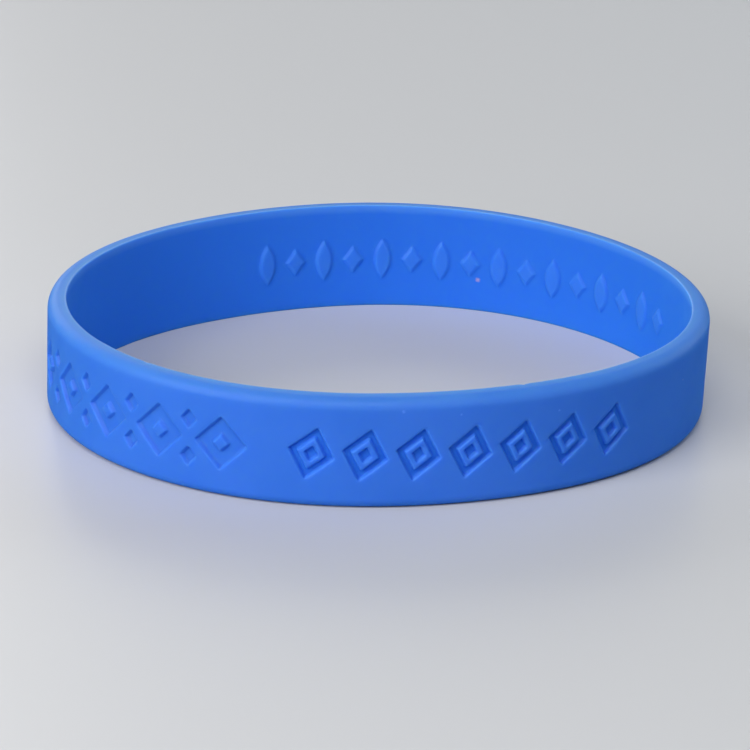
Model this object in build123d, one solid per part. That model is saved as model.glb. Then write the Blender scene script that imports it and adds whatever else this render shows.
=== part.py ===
from build123d import *
import math
import os

# A moulded silicone wristband that lies on one of its long edges. All sizes are in
# millimetres. The origin is on the surface it rests on, under the middle of the loop,
# with the wrist opening along Z and the side that shows best towards -Y.

# The band
band_length = 202.0    # once round, along the middle of the wall
band_height = 12.0
wall = 2.0
outer_round = 1.2      # on the two long outer edges; the inner ones stay sharp

# How far the loop lies out of round: waves in one turn, swing as a share of the mean
# radius, and the direction of one crest, in degrees from +X towards +Y.
out_of_round = [
    {"waves": 2, "swing": 0.0886, "crest": 13.7},
    {"waves": 3, "swing": 0.0092, "crest": 93.1},
    {"waves": 4, "swing": 0.0064, "crest": -4.7},
]
loop_points = 48       # points that each smooth outline passes through
walk_steps = 3600      # short steps for measuring lengths round the loop

# Motifs sunk into the outside
sunk_depth = 0.45
row_height = 6.0       # from the resting edge to the middle of the outer row
lozenge_width = 5.4
lozenge_tall = 5.7
lozenge_stroke = 1.3
stud_width = 1.6
stud_tall = 2.0
stud_rise = 2.05       # from the row's middle to the middle of a small stud
frame_width = 4.6
frame_tall = 5.7
frame_stroke = 0.65
frame_gap = 0.6        # wall left standing between a thin frame and the seed in it
frame_lean = 12.0      # degrees to the right

# Motifs raised on the inside
raised_height = 0.25
inner_row_height = 5.6
bud_width = 2.0
bud_tall = 4.6
tile_width = 2.4
tile_tall = 3.2

# Where each row starts, and the step from one motif to the next, both measured along
# the middle of the wall. The outer rows start from the direction -Y and run towards
# +X, and the inner ones start from +Y and run the same way.
lozenge_first = -43.7
lozenge_step = 7.0
lozenge_count = 5
frame_first = -6.4
frame_step = 5.4
frame_count = 7
bud_first = -14.0
bud_step = 7.0
bud_count = 8

# Directions in degrees from +X towards +Y
front = 270.0
back = 90.0


def radius_share(turn):
    """Distance from the middle of the loop at a direction in degrees, as a share of the mean."""
    swings = [
        row["swing"] * math.cos(math.radians(row["waves"] * (turn - row["crest"])))
        for row in out_of_round
    ]
    return 1 + sum(swings)


def share_slope(turn):
    """How fast that share grows for each radian of turn."""
    slopes = [
        -row["waves"] * row["swing"] * math.sin(math.radians(row["waves"] * (turn - row["crest"])))
        for row in out_of_round
    ]
    return sum(slopes)


def unit_length(turn):
    """Length of wall for each radian of turn, on a loop with a mean radius of 1."""
    return math.hypot(radius_share(turn), share_slope(turn))


step_turn = 360.0 / walk_steps
step_radians = math.radians(step_turn)
mean_radius = band_length / sum(unit_length(i * step_turn) * step_radians for i in range(walk_steps))


def outward(turn):
    """Level direction square to the wall, pointing away from the wrist."""
    share = radius_share(turn)
    slope = share_slope(turn)
    cosine = math.cos(math.radians(turn))
    sine = math.sin(math.radians(turn))
    along = Vector(slope * cosine - share * sine, slope * sine + share * cosine)
    return Vector(along.Y, -along.X).normalized()


def wall_point(turn, offset=0.0, height=0.0):
    """A point at an offset outwards from the middle of the wall."""
    reach = mean_radius * radius_share(turn)
    middle = Vector(reach * math.cos(math.radians(turn)), reach * math.sin(math.radians(turn)), height)
    return middle + outward(turn) * offset


def turn_at(start, distance):
    """The direction reached by walking a distance along the middle of the wall."""
    turn = start
    stride = math.copysign(step_turn, distance)
    walked = 0.0
    while walked < abs(distance):
        walked += mean_radius * unit_length(turn + stride / 2) * step_radians
        turn += stride
    return turn


def loop_form(offset):
    """The whole space inside an outline at an offset from the middle of the wall."""
    turns = [360.0 * i / loop_points for i in range(loop_points)]
    outline = Spline(*[wall_point(turn, offset) for turn in turns], periodic=True)
    return extrude(make_face(outline), amount=band_height)


def lozenge(width, tall):
    """A diamond standing on its point."""
    return Polygon((width / 2, 0), (0, tall / 2), (-width / 2, 0), (0, -tall / 2), align=None)


def lozenge_inside(width, tall, inset):
    """The diamond whose sides lie an inset inside those of a larger one."""
    half_across = width * tall / 2 / math.hypot(width, tall)
    left = 1 - inset / half_across
    return lozenge(width * left, tall * left)


def bold_ring():
    """A diamond sunk in a broad even stroke, with its middle left standing."""
    return lozenge(lozenge_width, lozenge_tall) - lozenge_inside(lozenge_width, lozenge_tall, lozenge_stroke)


def bud(width, tall):
    """A pointed oval of two arcs."""
    foot = (0, -tall / 2)
    tip = (0, tall / 2)
    sides = Curve() + ThreePointArc(foot, (width / 2, 0), tip) + ThreePointArc(tip, (-width / 2, 0), foot)
    return make_face(sides)


def thin_frame():
    """A diamond sunk in one thin stroke round a small seed, leaning to the right."""
    frame = lozenge(frame_width, frame_tall) - lozenge_inside(frame_width, frame_tall, frame_stroke)
    seed = lozenge_inside(frame_width, frame_tall, frame_stroke + frame_gap)
    return (frame + seed).rotate(Axis.Z, -frame_lean)


def outside_plane(distance, height):
    """Flat plane in the middle of the wall, seen from outside with its X to the right."""
    turn = turn_at(front, distance)
    facing = outward(turn)
    return Plane(wall_point(turn, 0.0, height), x_dir=Vector(0, 0, 1).cross(facing), z_dir=facing)


def inside_plane(distance, height):
    """The same in the wall across the opening, seen from the wrist's side."""
    turn = turn_at(back, -distance)
    facing = outward(turn) * -1
    return Plane(wall_point(turn, 0.0, height), x_dir=Vector(0, 0, 1).cross(facing), z_dir=facing)


def stamp(plane, sketch):
    """A motif pushed square through half of the wall and out past its face."""
    return extrude(plane * sketch, amount=wall)


def outside_stamps():
    """Every motif of the outer rows: bold rings with studs between them, then thin frames."""
    stamps = []
    for i in range(lozenge_count):
        middle = lozenge_first + i * lozenge_step
        stamps.append(stamp(outside_plane(middle, row_height), bold_ring()))
        if i == lozenge_count - 1:
            continue
        between = middle + lozenge_step / 2
        for rise in (-stud_rise, stud_rise):
            plane = outside_plane(between, row_height + rise)
            stamps.append(stamp(plane, lozenge(stud_width, stud_tall)))
    for i in range(frame_count):
        stamps.append(stamp(outside_plane(frame_first + i * frame_step, row_height), thin_frame()))
    return stamps


def inside_stamps():
    """Every motif of the inner row: tall buds with small tiles between them."""
    stamps = []
    for i in range(bud_count):
        middle = bud_first + i * bud_step
        stamps.append(stamp(inside_plane(middle, inner_row_height), bud(bud_width, bud_tall)))
        between = middle + bud_step / 2
        stamps.append(stamp(inside_plane(between, inner_row_height), lozenge(tile_width, tile_tall)))
    return stamps


def wristband():
    """The one moulded piece: a tall thin loop, sunk outside and raised inside."""
    solid_puck = loop_form(wall / 2)
    long_edges = solid_puck.edges().filter_by(Axis.Z, reverse=True)
    band = fillet(long_edges, outer_round) - loop_form(-wall / 2)
    sunk = Part() + outside_stamps() - loop_form(wall / 2 - sunk_depth)
    raised = Part() + inside_stamps() - loop_form(-wall / 2 - raised_height)
    return band - sunk + raised


band = wristband()
box = band.bounding_box()
band = Pos(-box.center().X, -box.center().Y, -box.min.Z) * band

os.makedirs("parts", exist_ok=True)
export_step(band, "parts/wristband.step")
print(f"mean radius {mean_radius:.3f} mm, size {box.size.X:.2f} x {box.size.Y:.2f} x {box.size.Z:.2f} mm")
print(f"volume {band.volume / 1000:.3f} cubic centimetres, solids {len(band.solids())}")
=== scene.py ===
import bmesh
import bpy
import math
from mathutils import Matrix, Vector
from mathutils.geometry import delaunay_2d_cdt


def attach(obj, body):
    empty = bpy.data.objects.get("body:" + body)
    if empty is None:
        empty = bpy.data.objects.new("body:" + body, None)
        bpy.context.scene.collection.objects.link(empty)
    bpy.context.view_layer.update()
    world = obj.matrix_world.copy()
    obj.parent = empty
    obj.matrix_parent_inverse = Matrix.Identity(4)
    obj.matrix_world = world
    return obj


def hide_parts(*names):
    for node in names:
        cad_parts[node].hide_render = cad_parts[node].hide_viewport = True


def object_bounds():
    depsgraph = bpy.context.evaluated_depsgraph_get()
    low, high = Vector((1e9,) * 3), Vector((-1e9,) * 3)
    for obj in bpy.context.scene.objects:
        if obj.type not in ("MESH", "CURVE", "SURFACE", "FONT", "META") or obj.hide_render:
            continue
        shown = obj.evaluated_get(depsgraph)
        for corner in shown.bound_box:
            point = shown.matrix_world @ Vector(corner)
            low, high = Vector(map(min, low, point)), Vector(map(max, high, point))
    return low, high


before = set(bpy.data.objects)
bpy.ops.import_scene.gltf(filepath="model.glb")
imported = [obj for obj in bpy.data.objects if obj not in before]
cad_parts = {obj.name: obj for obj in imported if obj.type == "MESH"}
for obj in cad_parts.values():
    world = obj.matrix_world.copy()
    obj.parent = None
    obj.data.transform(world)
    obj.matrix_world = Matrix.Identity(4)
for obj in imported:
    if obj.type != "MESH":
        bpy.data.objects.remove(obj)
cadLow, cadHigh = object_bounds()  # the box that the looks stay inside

mm = 0.001
print("frame loaded, band is", round((cadHigh.x - cadLow.x) / mm, 1), "mm across")

# The band itself, in metres and degrees
band = {
    "length": 202.0 * mm,  # once round, along the middle of the wall
    "height": cadHigh.z - cadLow.z,
    "wall": 2.0 * mm,
    "edgeRound": 1.2 * mm,  # the long outer edges
    "edgeSteps": 10,
    "lipHeight": 0.045 * mm,  # thin moulding lip along the top inner edge
    "lipWidth": 0.26 * mm,
    "lipBelow": 0.135 * mm,  # where the plain inner wall starts under it
    "lipSection": [(0.55, 0.75), (0.2, 1.0), (0.0, -1.0)],  # shares of its width and height
    "footSection": [(0.0, 1.0), (0.4, 0.25), (1.0, 0.0)],  # the bottom inner edge, in lip heights
    "lipWear": (-0.35, 1.05),  # how much of its height the lip gains or loses
    "lipRagged": 420.0,
    "paintedGlowLow": 10.4 * mm,  # painted glow and sheen: the walls are painted paler towards the top rim
    "paintedGlowInside": 10.9 * mm,  # where that starts on the wrist's side
    "paintedGlowHigh": 11.8 * mm,
    "outerPaintedGlow": 0.5,  # how strong it is on the outside
    "column": 0.35 * mm,  # mesh spacing along the band
    "row": 0.45 * mm,  # mesh spacing up the walls
    "topRow": 0.36 * mm,  # mesh spacing across the rim
    "reliefLow": 2.4 * mm,  # the stretch of wall that holds the motifs
    "reliefHigh": 9.6 * mm,
    "outOfRound": [
        {"name": "Oval", "waves": 2, "swing": 0.0886, "crest": 13.7},
        {"name": "Egg", "waves": 3, "swing": 0.0092, "crest": 93.1},
        {"name": "Square", "waves": 4, "swing": 0.0064, "crest": -4.7},
    ],
    "front": 270.0,  # direction of the side that shows best
    "back": 90.0,
    "lean": [  # how far the soft wall's top stands out past its foot
        {"name": "Flare", "waves": 0, "swing": 0.12 * mm, "crest": 0.0},
        {"name": "Tilt", "waves": 1, "swing": 0.30 * mm, "crest": 119.2},
        {"name": "Twist", "waves": 2, "swing": 0.33 * mm, "crest": -44.1},
        {"name": "Ripple", "waves": 3, "swing": 0.21 * mm, "crest": -10.3},
    ],
    "nicks": [  # small dents in the top inner edge, measured along the band from the front
        {"name": "Left Nick", "at": -25.9 * mm, "deep": 0.07 * mm, "wide": 0.45 * mm},
        {"name": "Right Nick", "at": 16.1 * mm, "deep": 0.09 * mm, "wide": 0.60 * mm},
    ],
    "nickDepth": 0.5 * mm,  # how far down the wall a nick reaches
    "pathPoints": 1440,
    "sway": 0.05 * mm,  # slow unevenness of the soft walls
    "swayScale": 55.0,
    "joinGap": 0.004 * mm,  # points of neighbouring slabs that become one
    "seed": 3.0,
}

# One output of a node, so that sums on it read as sums
class Wire:
    def __init__(self, desk, socket):
        self.desk = desk
        self.socket = socket

    def __add__(self, other):
        return self.desk.maths("ADD", self, other)

    def __radd__(self, other):
        return self.desk.maths("ADD", other, self)

    def __sub__(self, other):
        return self.desk.maths("SUBTRACT", self, other)

    def __rsub__(self, other):
        return self.desk.maths("SUBTRACT", other, self)

    def __mul__(self, other):
        return self.desk.maths("MULTIPLY", self, other)

    def __rmul__(self, other):
        return self.desk.maths("MULTIPLY", other, self)

    def __truediv__(self, other):
        return self.desk.maths("DIVIDE", self, other)

    def __rtruediv__(self, other):
        return self.desk.maths("DIVIDE", other, self)


# Adds nodes to one tree and wires them up
class Desk:
    def __init__(self, tree):
        self.tree = tree

    def feed(self, socket, value):
        if isinstance(value, Wire):
            self.tree.links.new(value.socket, socket)
        else:
            socket.default_value = value

    def node(self, kind, settings, sockets):
        made = self.tree.nodes.new(kind)
        for name, value in settings.items():
            setattr(made, name, value)
        for name, value in sockets.items():
            self.feed(made.inputs[name], value)
        return made

    def add(self, kind, settings, sockets, output=0):
        return Wire(self, self.node(kind, settings, sockets).outputs[output])

    def maths(self, operation, *terms):
        return self.add("ShaderNodeMath", {"operation": operation}, dict(enumerate(terms)))

    def vectors(self, operation, *terms):
        output = "Value" if operation == "DISTANCE" else "Vector"
        return self.add("ShaderNodeVectorMath", {"operation": operation}, dict(enumerate(terms)), output)

    def scaled(self, vector, factor):
        return self.add("ShaderNodeVectorMath", {"operation": "SCALE"}, {0: vector, "Scale": factor})

    def smooth(self, value, low, high):
        settings = {"interpolation_type": "SMOOTHSTEP"}
        return self.add("ShaderNodeMapRange", settings, {"Value": value, "From Min": low, "From Max": high})

    def mixed(self, share, first, second):
        # 6, 7 and 2 are the places of the colour sockets
        return self.add("ShaderNodeMix", {"data_type": "RGBA"}, {"Factor": share, 6: first, 7: second}, 2)


# Lengths round the loop

def loopShare(turn):
    return 1 + sum(
        wave["swing"] * math.cos(math.radians(wave["waves"] * (turn - wave["crest"])))
        for wave in band["outOfRound"]
    )


def loopPoint(turn, reach):
    share = loopShare(turn) * reach
    return Vector((share * math.cos(math.radians(turn)), share * math.sin(math.radians(turn)), 0))


def walkLength(start, end, radius):
    steps = band["pathPoints"]
    turns = [start + (end - start) * i / steps for i in range(steps + 1)]
    places = [loopPoint(turn, radius) for turn in turns]
    return sum((b - a).length for a, b in zip(places, places[1:]))


meanRadius = band["length"] / walkLength(0, 360, 1.0)
backAlong = walkLength(band["front"] - 360, band["back"], meanRadius)


def loopMiddle():
    # the middle of the loop's outer size, which belongs at the origin
    steps = band["pathPoints"]
    places = [loopPoint(360 * i / steps, meanRadius) for i in range(steps)]
    outer = []
    for i, place in enumerate(places):
        along = places[(i + 1) % steps] - places[i - 1]
        outer.append(place + Vector((along.y, -along.x, 0)).normalized() * band["wall"] / 2)
    x = (max(p.x for p in outer) + min(p.x for p in outer)) / 2
    y = (max(p.y for p in outer) + min(p.y for p in outer)) / 2
    return x, y


# How the wall goes down or up at a motif's outline: reach into the motif, and share of its depth
relief = {
    "sunkDepth": 0.45 * mm,
    "raisedHeight": 0.25 * mm,
    "corner": 0.16 * mm,
    "cornerSteps": 4,
    "lineStep": 0.3 * mm,  # longest straight piece of an outline
    "clear": 0.26 * mm,  # space left round an outline by the loose points
    "budSteps": 16,
    "weld": 1e-9,  # points closer than this are one
    "sunkSides": [
        (-0.16 * mm, 0.0), (-0.09 * mm, 0.08), (-0.03 * mm, 0.32),
        (0.03 * mm, 0.68), (0.08 * mm, 0.92), (0.14 * mm, 1.0),
    ],
    "raisedSides": [
        (-0.14 * mm, 0.0), (-0.04 * mm, 0.16), (0.08 * mm, 0.52),
        (0.2 * mm, 0.84), (0.36 * mm, 1.0),
    ],
}


def softPolygon(tips, radius):
    points = []
    for i, tip in enumerate(tips):
        before = (tips[i - 1] - tip).normalized()
        after = (tips[(i + 1) % len(tips)] - tip).normalized()
        half = before.angle(after) / 2
        start = tip + before * radius / math.tan(half)
        middle = tip + (before + after).normalized() * radius / math.sin(half)
        side = 1 if before.cross(after) < 0 else -1
        sweep = side * (math.pi - 2 * half) / relief["cornerSteps"]
        for j in range(relief["cornerSteps"] + 1):
            points.append(middle + Matrix.Rotation(sweep * j, 2) @ (start - middle))
    return finely(points)


def finely(points):
    # splits long straight pieces, so that the mesh follows the curved wall
    closer = []
    for a, b in zip(points, points[1:] + points[:1]):
        pieces = max(1, math.ceil((b - a).length / relief["lineStep"]))
        closer += [a.lerp(b, i / pieces) for i in range(pieces)]
    return closer


def diamond(width, tall, inset, reach):
    # the inset is its edge's, and the reach goes from that edge to a contour of its sides
    halfAcross = width * tall / 2 / math.hypot(width, tall)
    share = 1 - (inset + reach) / halfAcross
    tips = [(width / 2, 0), (0, tall / 2), (-width / 2, 0), (0, -tall / 2)]
    radius = max(relief["corner"] - reach, relief["corner"] / 4)
    return softPolygon([Vector(tip) * share for tip in tips], radius)


def bud(width, tall, inset, reach):
    # two arcs that meet in a point above and below
    radius = (width / 2 + tall * tall / (2 * width)) / 2
    away = radius - width / 2
    radius -= inset + reach
    sweep = math.acos(away / radius)
    right = []
    for i in range(relief["budSteps"]):
        angle = sweep * (2 * i / relief["budSteps"] - 1)
        right.append(Vector((math.cos(angle), math.sin(angle))) * radius - Vector((away, 0)))
    return finely(right + [-point for point in right])


class Motif:
    # one closed outline at a place on the flat wall, and the contours that slope off it
    def __init__(self, size, x, y, look, inset=0.0, island=False):
        outline, width, tall = size
        turn = Matrix.Rotation(-math.radians(look.get("lean", 0.0)), 2)

        def drawn(reach):
            return [turn @ point + Vector((x, y)) for point in outline(width, tall, inset, reach)]

        sides = relief["raisedSides" if look.get("raised") else "sunkSides"]
        spread = look.get("soft", 1.0) * (-1 if island else 1)
        self.contours = [(drawn(reach * spread), share) for reach, share in sides]
        self.edge = drawn(0.0)
        self.inside = 0.0 if island else 1.0
        self.tone = look["tone"]
        self.low = Vector([min(point[i] for point in self.edge) - relief["clear"] for i in (0, 1)])
        self.high = Vector([max(point[i] for point in self.edge) + relief["clear"] for i in (0, 1)])

    def near(self, place):
        return self.low.x < place.x < self.high.x and self.low.y < place.y < self.high.y

    def sides(self):
        return zip(self.edge, self.edge[1:] + self.edge[:1])

    def gap(self, place):
        best = self.high.x - self.low.x
        for a, b in self.sides():
            share = (place - a).dot(b - a) / (b - a).length_squared
            best = min(best, (place - a.lerp(b, min(1.0, max(0.0, share)))).length)
        return best

    def holds(self, place):
        inside = False
        for a, b in self.sides():
            if (a.y > place.y) != (b.y > place.y):
                if place.x < a.x + (b.x - a.x) * (place.y - a.y) / (b.y - a.y):
                    inside = not inside
        return inside


# Slabs: short flat lengths of band, which the loop is laid with

def evenly(low, high, step):
    count = max(1, round((high - low) / step))
    return [low + (high - low) * i / count for i in range(count + 1)]


def arcRows(offset, height, start, end):
    radius, steps = band["edgeRound"], band["edgeSteps"]
    angles = [math.radians(start + (end - start) * i / steps) for i in range(steps + 1)]
    return [(offset + radius * math.cos(a), height + radius * math.sin(a)) for a in angles]


reliefHeights = evenly(band["reliefLow"], band["reliefHigh"], band["row"])


def sectionRows():
    # the band's section in four stretches, each row an outward offset and a height
    half, top, fillet = band["wall"] / 2, band["height"], band["edgeRound"]
    lip, lipWidth, below = band["lipHeight"], band["lipWidth"], band["lipBelow"]
    outer = [(half, z) for z in reliefHeights]
    inner = [(-half, z) for z in reversed(reliefHeights)]
    over = [(half, z) for z in evenly(band["reliefHigh"], top - fillet, band["row"])][:-1]
    over += arcRows(half - fillet, top - fillet, 0, 90)
    over += [(x, top) for x in evenly(half - fillet, lipWidth - half, band["topRow"])[1:]]
    over += [(lipWidth * across - half, top + lip * up) for across, up in band["lipSection"]]
    over += [(-half, z) for z in evenly(top - below, band["reliefHigh"], -band["row"])]
    under = [(-half, z) for z in evenly(band["reliefLow"], below, -band["row"])]
    under += [(lip * across - half, lip * up) for across, up in band["footSection"]]
    under += [(x, 0) for x in evenly(lipWidth - half, half - fillet, band["row"])[:-1]]
    under += arcRows(half - fillet, fillet, -90, 0)
    under += [(half, z) for z in evenly(fillet, band["reliefLow"], band["row"])[1:]]
    return outer, over, inner, under


class Slab:
    def __init__(self, name, length):
        self.name = name
        self.columns = evenly(-length / 2, length / 2, band["column"])
        self.places = []
        self.faces = []
        self.sunk = []
        self.raised = []

    def point(self, along, offset, height, sunk=0.0, raised=0.0):
        self.places.append((along, -offset, height))
        self.sunk.append(sunk)
        self.raised.append(raised)

    def grid(self, rows):
        first, deep = len(self.places), len(rows)
        for along in self.columns:
            for offset, height in rows:
                self.point(along, offset, height)
        for i in range(len(self.columns) - 1):
            for j in range(deep - 1):
                a = first + i * deep + j
                self.faces.append((a, a + deep, a + deep + 1, a + 1))

    def border(self):
        left, right = self.columns[0], self.columns[-1]
        around = [Vector((x, reliefHeights[0])) for x in self.columns]
        around += [Vector((right, z)) for z in reliefHeights[1:]]
        around += [Vector((x, reliefHeights[-1])) for x in reversed(self.columns[:-1])]
        return around + [Vector((left, z)) for z in reversed(reliefHeights[1:-1])]

    def loosePoints(self, shapes):
        # a grid of points clear of every outline, so that no triangle cuts across the curve of the wall
        for x in self.columns[1:-1]:
            for y in reliefHeights[1:-1]:
                place = Vector((x, y))
                close = [shape for shape in shapes if shape.near(place)]
                if any(shape.gap(place) < relief["clear"] for shape in close):
                    continue
                holders = [shape for shape in close if shape.holds(place)]
                deepest = holders[-1] if holders else None
                yield place, deepest.inside if deepest else 0.0, deepest.tone if deepest else 1.0

    def sheet(self, shapes, outside):
        # a triangulated sheet that follows every contour of the motifs
        places, shares, tones, edges = [], [], [], []
        lines = [(self.border(), 0.0, 1.0)]
        lines += [(line, share, shape.tone) for shape in shapes for line, share in shape.contours]
        for line, share, tone in lines:
            first = len(places)
            places += line
            shares += [share] * len(line)
            tones += [tone] * len(line)
            edges += [(first + i, first + (i + 1) % len(line)) for i in range(len(line))]
        for place, share, tone in self.loosePoints(shapes):
            places.append(place)
            shares.append(share)
            tones.append(tone)
        made, _, triangles, origins, _, _ = delaunay_2d_cdt(places, edges, [], 0, relief["weld"], True)
        first = len(self.places)
        half = band["wall"] / 2
        for place, origin in zip(made, origins):
            share, tone = shares[origin[0]], tones[origin[0]]
            # times the tone, these shares set how much painted shade a groove gets, or painted highlight a
            # raised motif gets
            if outside:
                self.point(place.x, half - share * relief["sunkDepth"], place.y, sunk=share * tone)
            else:
                self.point(place.x, -half - share * relief["raisedHeight"], place.y, raised=share * tone)
        for triangle in triangles:
            corners = [first + i for i in triangle]
            self.faces.append(corners if outside else corners[::-1])

    def build(self):
        mesh = bpy.data.meshes.new(self.name)
        mesh.from_pydata(self.places, [], self.faces)
        for name, values in (("sunk", self.sunk), ("raised", self.raised)):
            layer = mesh.attributes.new(name, "FLOAT", "POINT")
            layer.data.foreach_set("value", values)
        made = bpy.data.objects.new(self.name, mesh)
        bpy.context.scene.collection.objects.link(made)
        print(self.name, "has", len(self.faces), "faces")
        return made


def makeSlab(name, length, outside, inside):
    outer, over, inner, under = sectionRows()
    slab = Slab(name, length)
    if outside:
        slab.sheet(outside, True)
    else:
        slab.grid(outer)
    slab.grid(over)
    if inside:
        slab.sheet(inside, False)
    else:
        slab.grid(inner)
    slab.grid(under)
    return slab.build()


# Bold sunken rings with small studs between them, on the left of the front
ringRow = {
    "first": -43.7 * mm,  # from the front, along the middle of the wall
    "step": 7.0 * mm,
    "count": 5,
    "height": 6.0 * mm,
    "width": 5.4 * mm,
    "tall": 5.7 * mm,
    "stroke": 1.3 * mm,
    "studWidth": 1.6 * mm,
    "studTall": 2.0 * mm,
    "studRise": 2.05 * mm,
    "tone": 0.05,  # share of painted shade on the sunken floor
    "soft": 1.35,  # spreads the sloping sides
}


def ringSlab():
    length = ringRow["step"] * ringRow["count"]
    look = {"tone": ringRow["tone"], "soft": ringRow["soft"]}
    shapes = []
    ring = (diamond, ringRow["width"], ringRow["tall"])
    stud = (diamond, ringRow["studWidth"], ringRow["studTall"])
    for i in range(ringRow["count"]):
        x = ringRow["step"] * (i + 0.5) - length / 2
        shapes.append(Motif(ring, x, ringRow["height"], look))
        shapes.append(Motif(ring, x, ringRow["height"], look, ringRow["stroke"], island=True))
        if i == ringRow["count"] - 1:
            break
        for rise in (-ringRow["studRise"], ringRow["studRise"]):
            shapes.append(Motif(stud, x + ringRow["step"] / 2, ringRow["height"] + rise, look))
    return makeSlab("ringSlab", length, shapes, [])


# Thin sunken frames, each with a seed, leaning to the right
frameRow = {
    "first": -6.4 * mm,
    "step": 5.4 * mm,
    "count": 7,
    "height": 6.0 * mm,
    "width": 4.6 * mm,
    "tall": 5.7 * mm,
    "stroke": 0.65 * mm,
    "gap": 0.6 * mm,
    "lean": 12.0,
    # tone: share of painted shade in the grooves
    "tone": 0.65,
}


def frameSlab():
    size = (diamond, frameRow["width"], frameRow["tall"])
    middle = (0.0, frameRow["height"])
    look = {"lean": frameRow["lean"], "tone": frameRow["tone"]}
    shapes = [
        Motif(size, *middle, look),
        Motif(size, *middle, look, frameRow["stroke"], island=True),
        Motif(size, *middle, look, frameRow["stroke"] + frameRow["gap"]),
    ]
    return makeSlab("frameSlab", frameRow["step"], shapes, [])


# Low raised buds and tiles inside the back of the loop
budRow = {
    "first": -14.0 * mm,  # from the back, towards the right
    "step": 7.0 * mm,
    "count": 8,
    "height": 5.6 * mm,
    "budWidth": 2.0 * mm,
    "budTall": 4.6 * mm,
    "tileWidth": 2.4 * mm,
    "tileTall": 3.2 * mm,
    # tone: share of the painted highlight on the raised motifs
    "tone": 1.0,
}


def budSlab():
    # seen from outside the row runs the other way, so the bud comes second
    quarter = budRow["step"] / 4
    look = {"tone": budRow["tone"], "raised": True}
    shapes = [
        Motif((bud, budRow["budWidth"], budRow["budTall"]), quarter, budRow["height"], look),
        Motif((diamond, budRow["tileWidth"], budRow["tileTall"]), -quarter, budRow["height"], look),
    ]
    return makeSlab("budSlab", budRow["step"], [], shapes)


plainStep = 7.0 * mm
slabs = {
    "Rings": ringSlab(),
    "Frames": frameSlab(),
    "Buds": budSlab(),
    "Plain": makeSlab("plainSlab", plainStep, [], []),
}


def laidRuns():
    # where each run of slabs starts along the band, with plain ones in the gaps
    ringStart = ringRow["first"] - ringRow["step"] / 2
    budSpan = budRow["step"] * budRow["count"]
    runs = [
        {"slab": "Rings", "start": ringStart, "step": ringRow["step"] * ringRow["count"], "count": 1},
        {
            "slab": "Frames",
            "start": frameRow["first"] - frameRow["step"] / 2,
            "step": frameRow["step"],
            "count": frameRow["count"],
        },
        {
            "slab": "Buds",
            "start": backAlong - budRow["first"] - budSpan + budRow["step"] / 4,
            "step": budRow["step"],
            "count": budRow["count"],
        },
    ]
    full = []
    for i, run in enumerate(runs):
        end = run["start"] + run["step"] * run["count"]
        following = runs[i + 1]["start"] if i + 1 < len(runs) else ringStart + band["length"]
        count = max(1, round((following - end) / plainStep))
        step = (following - end) / count
        full.append(dict(run, stretch=1.0))
        plain = {"slab": "Plain", "start": end, "step": step, "count": count}
        full.append(dict(plain, stretch=step / plainStep))
    return full


# Node trees that lay the slabs in a line and bend them round the loop

def newTree(name, inputs):
    tree = bpy.data.node_groups.new(name, "GeometryNodeTree")
    tree.interface.new_socket("Geometry", in_out="OUTPUT", socket_type="NodeSocketGeometry")
    for label, kind in inputs:
        tree.interface.new_socket(label, in_out="INPUT", socket_type=kind)
    return tree


def slabRowTree():
    number = "NodeSocketFloat"
    inputs = [("Slab", "NodeSocketObject"), ("Start", number), ("Step", number)]
    inputs += [("Count", "NodeSocketInt"), ("Stretch", number)]
    tree = newTree("slabRow", inputs)
    desk = Desk(tree)
    given = desk.node("NodeGroupInput", {}, {})
    start, step, count, stretch, shape = [
        Wire(desk, given.outputs[label]) for label in ("Start", "Step", "Count", "Stretch", "Slab")
    ]
    first = desk.add("ShaderNodeCombineXYZ", {}, {"X": start + step * 0.5})
    offset = desk.add("ShaderNodeCombineXYZ", {}, {"X": step})
    sockets = {"Count": count, "Start Location": first, "Offset": offset}
    line = desk.add("GeometryNodeMeshLine", {"mode": "OFFSET"}, sockets)
    slab = desk.add("GeometryNodeObjectInfo", {}, {"Object": shape}, "Geometry")
    size = desk.add("ShaderNodeCombineXYZ", {}, {"X": stretch, "Y": 1.0, "Z": 1.0})
    laid = desk.add("GeometryNodeInstanceOnPoints", {}, {"Points": line, "Instance": slab, "Scale": size})
    desk.node("NodeGroupOutput", {}, {"Geometry": laid})
    return tree


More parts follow.
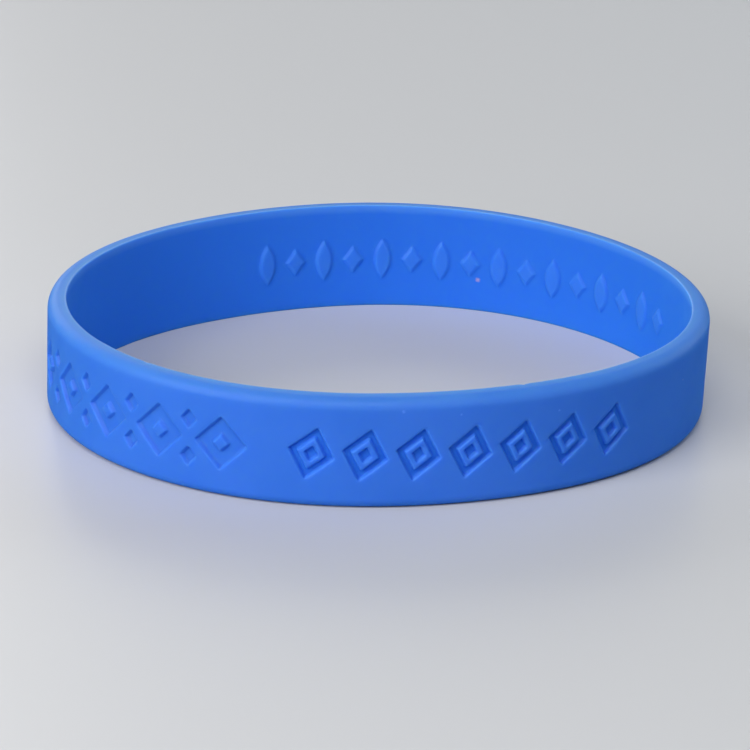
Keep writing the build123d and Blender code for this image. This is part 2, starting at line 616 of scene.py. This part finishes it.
def bandTree(runs):
    number = "NodeSocketFloat"
    labels = ["Length", "Height", "Wall", "Mean Radius", "Front Turn", "Middle X", "Middle Y"]
    labels += ["Sway", "Sway Scale", "Lip Height", "Lip Ragged", "Nick Depth", "Join Gap", "Seed"]
    labels += ["Painted Glow Low", "Painted Glow Inside", "Painted Glow High", "Outer Painted Glow"]
    inputs = [(label, number) for label in labels]
    for wave in band["outOfRound"] + band["lean"]:
        inputs += [(wave["name"] + " Swing", number), (wave["name"] + " Crest", number)]
    for i, run in enumerate(runs):
        label = f"Run {i + 1} "
        inputs += [(label + "Slab", "NodeSocketObject"), (label + "Count", "NodeSocketInt")]
        inputs += [(label + part, number) for part in ("Start", "Step", "Stretch")]
    for nick in band["nicks"]:
        inputs += [(nick["name"] + part, number) for part in (" At", " Deep", " Wide")]
    inputs.append(("Silicone", "NodeSocketMaterial"))
    tree = newTree("bandLoop", inputs)
    desk = Desk(tree)
    given = desk.node("NodeGroupInput", {}, {})

    def told(label):
        return Wire(desk, given.outputs[label])

    # every run of slabs, laid along X
    row = slabRowTree()
    joined = desk.node("GeometryNodeJoinGeometry", {}, {})
    for i, run in enumerate(runs):
        label = f"Run {i + 1} "
        sockets = {key: told(label + key) for key in ("Slab", "Start", "Step", "Count", "Stretch")}
        laid = desk.add("GeometryNodeGroup", {"node_tree": row}, sockets)
        desk.feed(joined.inputs[0], laid)  # this socket takes any number of links
    strip = desk.add("GeometryNodeRealizeInstances", {}, {"Geometry": Wire(desk, joined.outputs[0])})

    # the path: a circle moved out and in by a few slow waves
    points = band["pathPoints"]
    circle = desk.add("GeometryNodeCurvePrimitiveCircle", {}, {"Resolution": points, "Radius": 1.0})
    index = desk.add("GeometryNodeInputIndex", {}, {})
    turn = index * (2 * math.pi / points) + told("Front Turn")

    def waved(waves, level):
        for wave in waves:
            angle = (turn - told(wave["name"] + " Crest")) * wave["waves"]
            level = told(wave["name"] + " Swing") * desk.maths("COSINE", angle) + level
        return level

    reach = waved(band["outOfRound"], 1.0) * told("Mean Radius")
    x = reach * desk.maths("COSINE", turn) - told("Middle X")
    y = reach * desk.maths("SINE", turn) - told("Middle Y")
    place = desk.add("ShaderNodeCombineXYZ", {}, {"X": x, "Y": y})
    path = desk.add("GeometryNodeSetPosition", {}, {"Geometry": circle, "Position": place})

    # each point of the strip goes to its length along the path
    here = desk.add("GeometryNodeInputPosition", {}, {})
    parts = desk.node("ShaderNodeSeparateXYZ", {}, {0: here})
    along, depth, height = [Wire(desk, parts.outputs[i]) for i in range(3)]
    factor = desk.maths("FRACT", along / told("Length") + 1.0)
    sockets = {"Curves": path, "Factor": factor, "Value": waved(band["lean"], 0.0)}
    found = desk.node("GeometryNodeSampleCurve", {"mode": "FACTOR"}, sockets)
    middle, forwards = Wire(desk, found.outputs["Position"]), Wire(desk, found.outputs["Tangent"])
    outward = desk.vectors("CROSS_PRODUCT", forwards, (0.0, 0.0, 1.0))
    upward = desk.add("ShaderNodeCombineXYZ", {}, {"Z": height})
    bent = desk.vectors("ADD", middle, upward)
    lean = Wire(desk, found.outputs["Value"]) * (height / told("Height") - 0.5)
    bent = desk.vectors("ADD", bent, desk.scaled(outward, lean - depth))

    # the soft walls sway a little above the resting edge, and the lip is ragged
    settings = {"noise_dimensions": "4D"}
    sockets = {"Vector": bent, "W": told("Seed"), "Scale": told("Sway Scale"), "Detail": 1.0}
    slow = desk.add("ShaderNodeTexNoise", settings, sockets)
    lift = desk.smooth(height, 0.0, told("Height") / 2.0)
    bent = desk.vectors("ADD", bent, desk.scaled(outward, (slow * 2.0 - 1.0) * told("Sway") * lift))
    sockets = {"Vector": bent, "W": told("Seed"), "Scale": told("Lip Ragged"), "Detail": 2.0}
    fine = desk.add("ShaderNodeTexNoise", settings, sockets)
    onLip = desk.smooth(height, told("Height"), told("Height") + told("Lip Height") / 2.0)
    gain, loss = band["lipWear"]
    drop = (fine * (loss - gain) + gain) * told("Lip Height") * onLip
    nearTop = desk.smooth(height, told("Height") - told("Nick Depth"), told("Height"))
    inner = desk.smooth(depth, 0.0, told("Wall") / 2.0)
    corner = nearTop * inner
    for nick in band["nicks"]:
        away = desk.maths("ABSOLUTE", along - told(nick["name"] + " At"))
        share = 1.0 - desk.smooth(away, 0.0, told(nick["name"] + " Wide"))
        drop = drop + told(nick["name"] + " Deep") * share * corner
    bent = desk.vectors("SUBTRACT", bent, desk.add("ShaderNodeCombineXYZ", {}, {"Z": drop}))
    # painted glow: a paler colour near the top rim, standing in for sheen and for light coming through the
    # thin rim
    start = inner * (told("Painted Glow Inside") - told("Painted Glow Low")) + told("Painted Glow Low")
    nearRim = desk.smooth(height, start, told("Painted Glow High"))
    bloom = nearRim * (inner * (1.0 - told("Outer Painted Glow")) + told("Outer Painted Glow"))
    marked = strip
    for name, value in (("lip", onLip), ("bloom", bloom), ("inner", inner)):
        sockets = {"Geometry": marked, "Name": name, "Value": value}
        marked = desk.add("GeometryNodeStoreNamedAttribute", {}, sockets)
    loop = desk.add("GeometryNodeSetPosition", {}, {"Geometry": marked, "Position": bent})
    closed = desk.add("GeometryNodeMergeByDistance", {}, {"Geometry": loop, "Distance": told("Join Gap")})
    smooth = desk.add("GeometryNodeSetShadeSmooth", {}, {"Geometry": closed, "Shade Smooth": True})
    whole = desk.add("GeometryNodeRealizeInstances", {}, {"Geometry": smooth})
    done = desk.add("GeometryNodeSetMaterial", {}, {"Geometry": whole, "Material": told("Silicone")})
    desk.node("NodeGroupOutput", {}, {"Geometry": done})
    return tree


def frozen(holder, tree, values, name):
    # sets the tree's inputs, evaluates it once and keeps the result as a plain mesh
    modifier = holder.modifiers.new(tree.name, "NODES")
    modifier.node_group = tree
    for item in tree.interface.items_tree:
        if item.item_type == "SOCKET" and item.in_out == "INPUT" and item.name in values:
            modifier[item.identifier] = values[item.name]
    bpy.context.view_layer.update()
    depsgraph = bpy.context.evaluated_depsgraph_get()
    mesh = bpy.data.meshes.new_from_object(
        holder.evaluated_get(depsgraph), preserve_all_data_layers=True, depsgraph=depsgraph
    )
    holder.modifiers.clear()
    bpy.data.objects.remove(holder)
    mesh.name = name
    made = bpy.data.objects.new(name, mesh)
    bpy.context.scene.collection.objects.link(made)
    return made


# The finish of the moulded silicone
silicone = {
    "blue": (0.049, 0.194, 0.728, 1.0),
    "deepBlue": (0.042, 0.183, 0.700, 1.0),
    "innerBounceBlue": (0.029, 0.189, 0.752, 1.0),  # the wrist's side, painted purer for blue light bouncing inside the loop
    # painted shade in the grooves
    "grooveShadeBlue": (0.012, 0.158, 0.745, 1.0),
    # painted highlight on what stands out
    "raisedHighlightBlue": (0.080, 0.265, 0.780, 1.0),
    # painted glow and sheen at the top rim, outside and on the wrist's side
    "rimSheenAndGlowBlue": (0.077, 0.265, 0.668, 1.0),
    "innerRimGlowBlue": (0.085, 0.288, 0.772, 1.0),
    "innerEdges": (0.8, 1.0),  # how the rim's painted glow blue gives way to the inner one, by the share of inner
    # painted highlight along the thin lip
    "lipHighlightBlue": (0.125, 0.282, 0.705, 1.0),
    "raisedHighlightShare": 0.3,  # of the painted highlight blue on what stands out
    "clouds": {"scale": 90.0, "detail": 3.0, "edges": (0.35, 0.65), "rough": 0.12, "bloom": 0.4},
    "patches": {"scale": 650.0, "detail": 3.0, "rough": 0.10},
    "grain": {"scale": 5200.0, "detail": 2.0},
    "roughness": 0.50,
    "sunkRough": 0.05,  # what the grooves add
    "bump": {"strength": 0.25, "deep": 0.02 * mm},
    "bending": 1.41,  # how strongly silicone bends light
    "shine": 0.25,
    "softLight": 1.0,  # share of the light that goes into the rubber and comes out again
    "softRadius": (0.5, 0.75, 1.0),
    "softDepth": 1.1 * mm,
    "dust": {  # a few ragged specks, most of them too faint to notice
        "colour": (0.42, 0.50, 0.78, 1.0),
        "scale": 230.0,
        "size": (0.012, 0.03),  # core and rim, as shares of the spacing
        "patchScale": 60.0,
        "patchEdges": (0.5, 0.72),
        "share": 0.5,
        "ragScale": 9000.0,
        "ragged": 0.18 * mm,
    },
    "tints": {"pink": (0.50, 0.36, 0.56, 1.0), "pale": (0.16, 0.36, 0.92, 1.0)},
    "markCore": 0.3,  # share of a mark's radius that has its full colour
    "markRagged": 1.5,  # how much more ragged than the dust
    "marks": [  # small blemishes by direction, outside 1 or inside -1, and height
        {"turn": 68.3, "side": -1, "height": 3.9 * mm, "radius": 0.42 * mm, "tint": "pink", "share": 0.85},
        {"turn": 275.6, "side": 1, "height": 10.9 * mm, "radius": 0.26 * mm, "tint": "pale", "share": 0.6},
        {"turn": 287.4, "side": 1, "height": 10.3 * mm, "radius": 0.20 * mm, "tint": "pale", "share": 0.6},
        {"turn": 308.3, "side": 1, "height": 9.5 * mm, "radius": 0.18 * mm, "tint": "pale", "share": 0.5},
        {"turn": 218.8, "side": 1, "height": 11.0 * mm, "radius": 0.22 * mm, "tint": "pale", "share": 0.6},
    ],
}


def wallSpot(turn, side, height):
    # a point on the finished wall, from its direction, its side and its height
    nudge = 0.1
    ahead = loopPoint(turn + nudge, meanRadius) - loopPoint(turn - nudge, meanRadius)
    outward = Vector((ahead.y, -ahead.x, 0)).normalized()
    lean = sum(
        wave["swing"] * math.cos(math.radians(wave["waves"] * (turn - wave["crest"])))
        for wave in band["lean"]
    )
    reach = side * band["wall"] / 2 + lean * (height / band["height"] - 0.5)
    middle = Vector((*loopMiddle(), -height))
    return loopPoint(turn, meanRadius) + outward * reach - middle


def siliconeFinish():
    material = bpy.data.materials.new("softSilicone")
    material.use_nodes = True
    tree = material.node_tree
    tree.nodes.clear()
    desk = Desk(tree)
    place = desk.add("ShaderNodeTexCoord", {}, {}, "Object")

    def noise(scale, detail, output=0):
        sockets = {"Vector": place, "Scale": scale, "Detail": detail}
        return desk.add("ShaderNodeTexNoise", {}, sockets, output)

    clouds, patches, grain, dust = [silicone[key] for key in ("clouds", "patches", "grain", "dust")]
    cloudy = noise(clouds["scale"], clouds["detail"])
    patchy = noise(patches["scale"], patches["detail"])
    grainy = noise(grain["scale"], grain["detail"])
    marked = {
        name: desk.add("ShaderNodeAttribute", {"attribute_name": name}, {}, "Fac")
        for name in ("sunk", "raised", "lip", "bloom", "inner")
    }

    # colour: slightly cloudy; a purer blue inside, painted for light bouncing round the loop; painted shade
    # in the grooves; painted glow and sheen at the rim; painted highlight on what stands out and along the
    # lip
    colour = desk.mixed(desk.smooth(cloudy, *clouds["edges"]), silicone["deepBlue"], silicone["blue"])
    colour = desk.mixed(marked["inner"], colour, silicone["innerBounceBlue"])
    uneven = (cloudy - 0.5) * clouds["bloom"] + 1.0
    wristSide = desk.smooth(marked["inner"], *silicone["innerEdges"])
    rim = desk.mixed(wristSide, silicone["rimSheenAndGlowBlue"], silicone["innerRimGlowBlue"])
    colour = desk.mixed(marked["bloom"] * uneven, colour, rim)
    colour = desk.mixed(marked["sunk"], colour, silicone["grooveShadeBlue"])
    colour = desk.mixed(marked["raised"] * silicone["raisedHighlightShare"], colour, silicone["raisedHighlightBlue"])
    colour = desk.mixed(marked["lip"], colour, silicone["lipHighlightBlue"])

    # dust and marks
    ragged = desk.scaled(noise(dust["ragScale"], 2.0, "Color"), dust["ragged"])
    sockets = {"Vector": desk.vectors("ADD", place, ragged), "Scale": dust["scale"], "Randomness": 1.0}
    speck = desk.add("ShaderNodeTexVoronoi", {"feature": "F1"}, sockets, "Distance")
    dusty = desk.smooth(noise(dust["patchScale"], 0.0), *dust["patchEdges"])
    specks = (1.0 - desk.smooth(speck, *dust["size"])) * dusty
    colour = desk.mixed(specks * dust["share"], colour, dust["colour"])
    shifted = desk.vectors("ADD", place, desk.scaled(ragged, silicone["markRagged"]))
    for mark in silicone["marks"]:
        spot = wallSpot(mark["turn"], mark["side"], mark["height"])
        away = desk.vectors("DISTANCE", shifted, tuple(spot))
        core = mark["radius"] * silicone["markCore"]
        share = (1.0 - desk.smooth(away, core, mark["radius"])) * mark["share"]
        colour = desk.mixed(share, colour, silicone["tints"][mark["tint"]])

    rough = silicone["roughness"] + (patchy - 0.5) * patches["rough"] + (cloudy - 0.5) * clouds["rough"]
    rough = rough + marked["sunk"] * silicone["sunkRough"]
    height = (grainy + patchy) * 0.5
    bump = desk.add("ShaderNodeBump", {}, {
        "Strength": silicone["bump"]["strength"],
        "Distance": silicone["bump"]["deep"],
        "Height": height,
    })
    shader = desk.add("ShaderNodeBsdfPrincipled", {"subsurface_method": "RANDOM_WALK"}, {
        "Base Color": colour,
        "Roughness": rough,
        "Normal": bump,
        "IOR": silicone["bending"],
        "Specular IOR Level": silicone["shine"],
        "Subsurface Weight": silicone["softLight"],
        "Subsurface Radius": silicone["softRadius"],
        "Subsurface Scale": silicone["softDepth"],
    })
    desk.node("ShaderNodeOutputMaterial", {}, {"Surface": shader})
    print("silicone finish has", len(tree.nodes), "nodes")
    return material


def makeBand():
    runs = laidRuns()
    tree = bandTree(runs)
    middleX, middleY = loopMiddle()
    values = {
        "Length": band["length"],
        "Height": band["height"],
        "Wall": band["wall"],
        "Mean Radius": meanRadius,
        "Front Turn": math.radians(band["front"]),
        "Middle X": middleX,
        "Middle Y": middleY,
        "Sway": band["sway"],
        "Sway Scale": band["swayScale"],
        "Lip Height": band["lipHeight"],
        "Lip Ragged": band["lipRagged"],
        "Nick Depth": band["nickDepth"],
        "Painted Glow Low": band["paintedGlowLow"],
        "Painted Glow Inside": band["paintedGlowInside"],
        "Painted Glow High": band["paintedGlowHigh"],
        "Outer Painted Glow": band["outerPaintedGlow"],
        "Join Gap": band["joinGap"],
        "Seed": band["seed"],
        "Silicone": siliconeFinish(),
    }
    for nick in band["nicks"]:
        values[nick["name"] + " At"] = nick["at"]
        values[nick["name"] + " Deep"] = nick["deep"]
        values[nick["name"] + " Wide"] = nick["wide"]
    for wave in band["outOfRound"] + band["lean"]:
        values[wave["name"] + " Swing"] = wave["swing"]
        values[wave["name"] + " Crest"] = math.radians(wave["crest"])
    for i, run in enumerate(runs):
        label = f"Run {i + 1} "
        values[label + "Slab"] = slabs[run["slab"]]
        values[label + "Start"] = run["start"]
        values[label + "Step"] = run["step"]
        values[label + "Count"] = run["count"]
        values[label + "Stretch"] = run["stretch"]
    holder = bpy.data.objects.new("holder", bpy.data.meshes.new("holder"))
    bpy.context.scene.collection.objects.link(holder)
    made = frozen(holder, tree, values, "band")
    cleaned = bmesh.new()
    cleaned.from_mesh(made.data)
    bmesh.ops.recalc_face_normals(cleaned, faces=cleaned.faces)
    for face in cleaned.faces:
        face.material_index = 0
    openEdges = sum(1 for edge in cleaned.edges if len(edge.link_faces) != 2)
    print("band has", len(cleaned.faces), "faces,", openEdges, "open edges")
    cleaned.to_mesh(made.data)
    cleaned.free()
    made.data.materials.clear()
    made.data.materials.append(values["Silicone"])
    for slab in slabs.values():
        bpy.data.objects.remove(slab)
    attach(made, "root")
    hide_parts("wristband")
    return made


makeBand()

# Floor and light, which are not part of the band
studio = {
    "floor": (0.62, 0.62, 0.63, 1.0),
    "floorRoughness": 0.35,
    "floorUneven": 0.05,
    "floorScale": 8.0,
    "world": (0.60, 0.60, 0.61, 1.0),
    "wide": 1.6,
    "bendRadius": 0.25,
    "bendSteps": 12,
    "backAt": 0.5,
    "tall": 0.9,
}


def floorFinish():
    material = bpy.data.materials.new("floorPaint")
    material.use_nodes = True
    tree = material.node_tree
    tree.nodes.clear()
    desk = Desk(tree)
    place = desk.add("ShaderNodeTexCoord", {}, {}, "Object")
    sockets = {"Vector": place, "Scale": studio["floorScale"], "Detail": 2.0}
    cloudy = desk.add("ShaderNodeTexNoise", {}, sockets)
    rough = studio["floorRoughness"] + (cloudy - 0.5) * studio["floorUneven"]
    shader = desk.add("ShaderNodeBsdfPrincipled", {}, {"Base Color": studio["floor"], "Roughness": rough})
    desk.node("ShaderNodeOutputMaterial", {}, {"Surface": shader})
    return material


def makeFloor():
    # a sheet that runs back and curves up behind the band
    half, bend, back = studio["wide"] / 2, studio["bendRadius"], studio["backAt"]
    line = [(-studio["wide"], 0.0), (0.0, 0.0), (back, 0.0)]
    for i in range(1, studio["bendSteps"] + 1):
        angle = math.radians(90 * i / studio["bendSteps"])
        line.append((back + bend * math.sin(angle), bend - bend * math.cos(angle)))
    line.append((back + bend, studio["tall"]))
    places = [(side * half, y, z) for y, z in line for side in (-1, 1)]
    faces = [(2 * i, 2 * i + 1, 2 * i + 3, 2 * i + 2) for i in range(len(line) - 1)]
    mesh = bpy.data.meshes.new("floor")
    mesh.from_pydata(places, [], faces)
    mesh.polygons.foreach_set("use_smooth", [True] * len(faces))
    mesh.materials.append(floorFinish())
    floor = bpy.data.objects.new("floor", mesh)
    bpy.context.scene.collection.objects.link(floor)
    floor.visible_glossy = False  # keeps a pale sheen off the foot of the band


softBoxes = [  # place and size in metres, the two on the right a little cool
    {"name": "keyBox", "at": (-0.40, -0.38, 0.30), "size": (0.36, 0.36), "watts": 2.97},
    {"name": "frontBox", "at": (0.0, -0.44, 0.55), "size": (0.40, 0.40), "watts": 2.38},
    {"name": "leftBackBox", "at": (-0.54, 0.30, 0.22), "size": (0.36, 0.30), "watts": 0.13},
    {"name": "backLeftBox", "at": (-0.28, 0.52, 0.24), "size": (0.36, 0.26), "watts": 1.01},
    {"name": "backBox", "at": (0.10, 0.60, 0.25), "size": (0.50, 0.30), "watts": 0.41},
    {"name": "rightBackBox", "at": (0.48, 0.30, 0.22), "size": (0.36, 0.30), "watts": 1.12, "cool": True},
    {"name": "rightFrontBox", "at": (0.42, -0.38, 0.28), "size": (0.30, 0.40), "watts": 0.28, "cool": True},
]
lightColours = {"plain": (1.0, 1.0, 1.0), "cool": (0.70, 0.86, 1.0)}


def makeLights():
    for box in softBoxes:
        light = bpy.data.lights.new(box["name"], "AREA")
        light.shape = "RECTANGLE"
        light.size, light.size_y = box["size"]
        light.energy = box["watts"]
        light.color = lightColours["cool" if box.get("cool") else "plain"]
        lamp = bpy.data.objects.new(box["name"], light)
        lamp.location = box["at"]
        lamp.rotation_euler = Vector(box["at"]).to_track_quat("Z", "Y").to_euler()
        lamp.visible_camera = False
        bpy.context.scene.collection.objects.link(lamp)
    world = bpy.data.worlds.new("studio")
    world.use_nodes = True
    ground = world.node_tree.nodes["Background"]
    ground.inputs["Color"].default_value = studio["world"]
    for ray in ("diffuse", "glossy", "transmission", "scatter"):
        setattr(world.cycles_visibility, ray, False)  # a pale background that lights nothing
    bpy.context.scene.world = world
    bpy.context.scene.view_settings.view_transform = "Standard"


# The photo's viewpoint: a long lens a little above the band, turned a touch clockwise
shot = {
    "aim": (-0.24 * mm, 0.58 * mm, 2.39 * mm),
    "away": 456.0 * mm,
    "above": 21.81,
    "roll": 2.16,
    "lens": 200.7,
    "sensor": 36.0,
    "nearest": 10.0 * mm,
}


def makeCamera():
    rise = math.radians(shot["above"])
    back = Vector((0.0, -math.cos(rise), math.sin(rise)))
    camera = bpy.data.cameras.new("camera")
    camera.lens = shot["lens"]
    camera.sensor_width = shot["sensor"]
    camera.clip_start = shot["nearest"]
    holder = bpy.data.objects.new("camera", camera)
    holder.location = Vector(shot["aim"]) + back * shot["away"]
    roll = Matrix.Rotation(math.radians(shot["roll"]), 3, "Z")
    holder.rotation_euler = ((-back).to_track_quat("-Z", "Y").to_matrix() @ roll).to_euler()
    bpy.context.scene.collection.objects.link(holder)
    bpy.context.scene.camera = holder


makeFloor()
makeLights()
makeCamera()
print("floor, lights and camera are in place")
